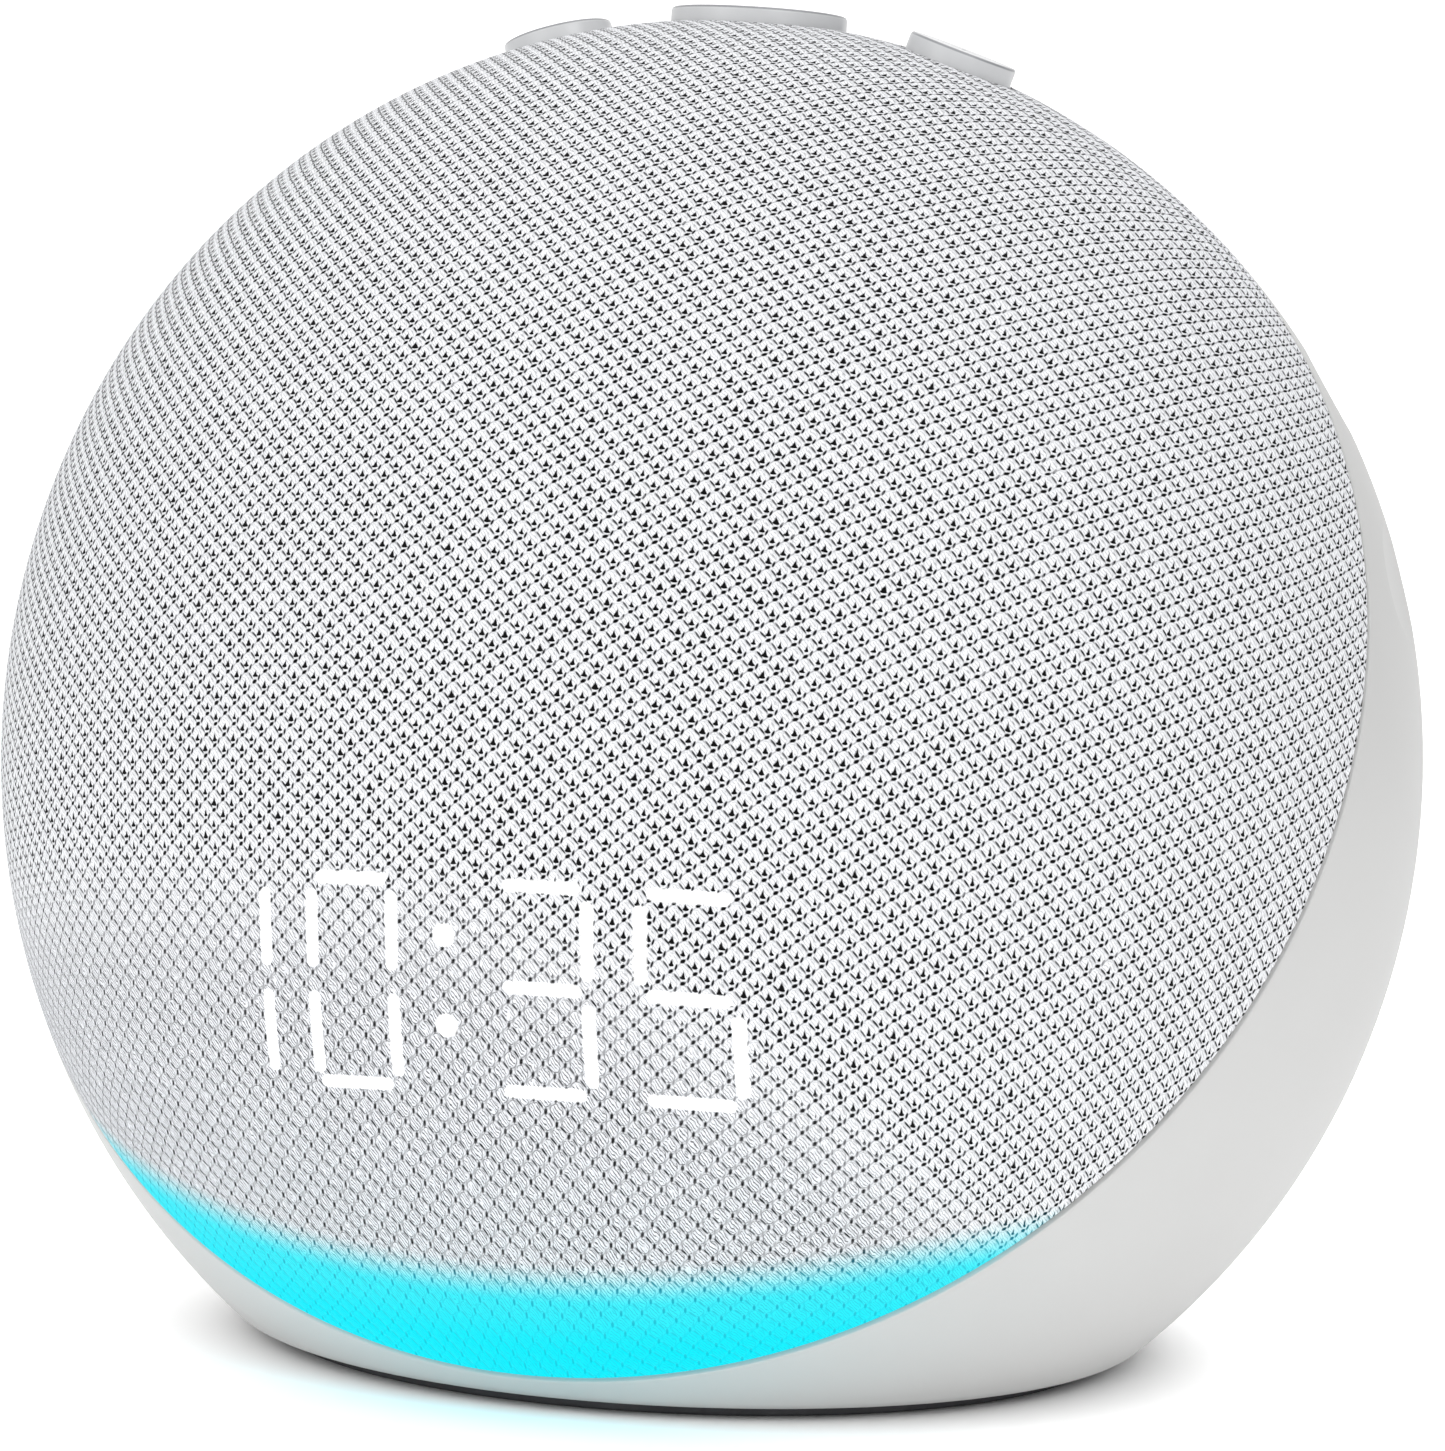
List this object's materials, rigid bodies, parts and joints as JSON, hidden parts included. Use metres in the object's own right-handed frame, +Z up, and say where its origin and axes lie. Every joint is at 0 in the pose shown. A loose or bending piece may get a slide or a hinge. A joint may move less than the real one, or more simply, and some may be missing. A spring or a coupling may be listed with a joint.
{
  "type": "smart speaker with clock",
  "caption": "Ball-shaped smart speaker on a flat foot: knitted front dome with a glowing clock, plain rear shell, raised push buttons on top and a light ring inside",
  "frame": {"origin": "under the middle of the foot, on the surface that it stands on", "axes": "+Z up; the knitted front with the clock faces -Y; +X is the right-hand side for a person facing the clock"},
  "size_m": [0.1, 0.1, 0.0942],
  "materials": {
    "knit_fabric": "white weft knit, stretched",
    "shell_plastic": "satin moulded",
    "button_plastic": "satin, slightly see-through",
    "dark_plastic": "fine moulded",
    "white_plastic": "moulded",
    "foot_rubber": "matt",
    "diffuser": "milky",
    "circuit_board": "solder mask",
    "flex_film": "amber film",
    "led_package": "resin",
    "plated_steel": "zinc plated",
    "aluminium": "plain",
    "ferrite": "ground",
    "cone_paper": "pressed pulp",
    "coil_copper": "enamelled copper wire",
    "cable_jacket": "matt"
  },
  "bodies": {
    "housing": {"fabric_cover": "knit_fabric", "grille_frame": "dark_plastic", "rear_shell": "shell_plastic", "seam_hoop": "white_plastic", "base_plate": "white_plastic", "rubber_foot": "foot_rubber", "chassis_tray": "dark_plastic", "light_ring": "diffuser", "ring_led_board": "circuit_board", "button_flex_board": "flex_film", "button_bracket": "white_plastic", "microphone_left": "plated_steel", "microphone_right": "plated_steel", "clock_mask": "dark_plastic", "clock_board": "circuit_board", "speaker_frame": "plated_steel", "speaker_surround": "foot_rubber", "spider": "flex_film", "top_plate": "plated_steel", "magnet": "ferrite", "pole_piece": "plated_steel", "speaker_baffle": "dark_plastic", "main_board": "circuit_board", "board_shield": "plated_steel", "heat_spreader": "aluminium", "reservoir_capacitor": "aluminium", "power_jack": "dark_plastic", "jack_pin": "plated_steel", "jack_bezel": "dark_plastic", "clock_cable": "cable_jacket", "speaker_cable": "cable_jacket", "button_cable": "cable_jacket", "clock_led_1": "led_package", "ring_led_1": "led_package", "clock_led_2": "led_package", "ring_led_2": "led_package", "clock_led_3": "led_package", "ring_led_3": "led_package", "clock_led_4": "led_package", "ring_led_4": "led_package", "base_screw_1": "plated_steel", "speaker_screw_1": "plated_steel", "base_screw_2": "plated_steel", "speaker_screw_2": "plated_steel", "base_screw_3": "plated_steel", "speaker_screw_3": "plated_steel", "board_screw_1": "plated_steel", "board_screw_2": "plated_steel", "volume_down_switch": "dark_plastic", "action_switch": "dark_plastic", "volume_up_switch": "dark_plastic"},
    "volume_down": {"volume_down_button": "button_plastic", "volume_down_plunger": "plated_steel"},
    "action": {"action_button": "button_plastic", "action_plunger": "plated_steel"},
    "volume_up": {"volume_up_button": "button_plastic", "volume_up_plunger": "plated_steel"},
    "cone": {"speaker_cone": "cone_paper", "dust_cap": "cone_paper", "voice_coil": "coil_copper"}
  },
  "joints": [
    {"name": "volume_down_press", "type": "slide", "parent": "housing", "child": "volume_down", "axis": [0.3093, -0.0726, -0.9482], "range_m": [0, 0.0005], "stiffness_N_per_m": 900},
    {"name": "action_press", "type": "slide", "parent": "housing", "child": "action", "axis": [0, -0.0729, -0.9973], "range_m": [0, 0.0005], "stiffness_N_per_m": 900},
    {"name": "volume_up_press", "type": "slide", "parent": "housing", "child": "volume_up", "axis": [-0.3093, -0.0726, -0.9482], "range_m": [0, 0.0005], "stiffness_N_per_m": 900},
    {"name": "cone_stroke", "type": "slide", "parent": "housing", "child": "cone", "axis": [0, -0.866, 0.5], "range_m": [-0.0015, 0.0015], "stiffness_N_per_m": 1000}
  ]
}
